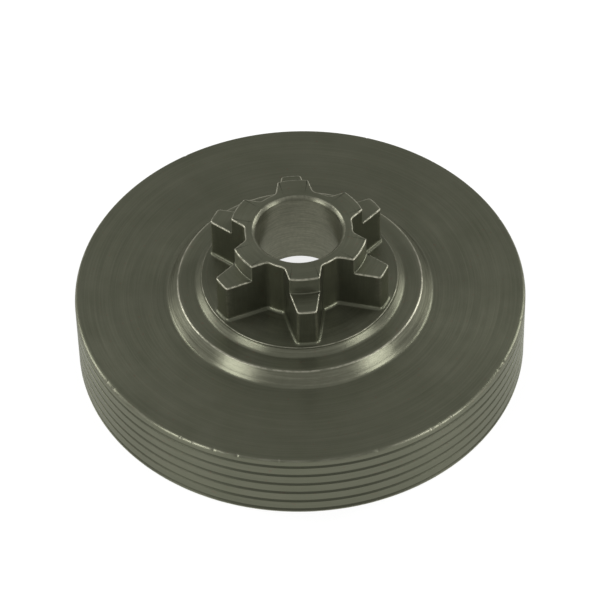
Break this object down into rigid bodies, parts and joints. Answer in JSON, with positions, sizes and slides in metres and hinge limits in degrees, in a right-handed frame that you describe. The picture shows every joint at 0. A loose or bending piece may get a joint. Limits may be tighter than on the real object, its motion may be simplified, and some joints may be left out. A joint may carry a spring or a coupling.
{
  "type": "clutch drum",
  "caption": "Turned steel clutch drum: an open cup for centrifugal clutch shoes, with a stepped spur sprocket and a through bore for a needle cage.",
  "frame": {"origin": "on the drum's axis, in the plane of the open rim that it stands on", "axes": "+Z along the bore from the open rim to the sprocket; the first tooth lies 34 degrees from +X towards +Y"},
  "size_m": [0.0684, 0.0684, 0.0249],
  "materials": {
    "dark_turned_steel": "turned and oil-blackened steel, olive-dark, with bright tool marks on the bevels and nicks along the outer edge"
  },
  "bodies": {
    "root": {"clutch_drum": "dark_turned_steel"}
  },
  "joints": []
}
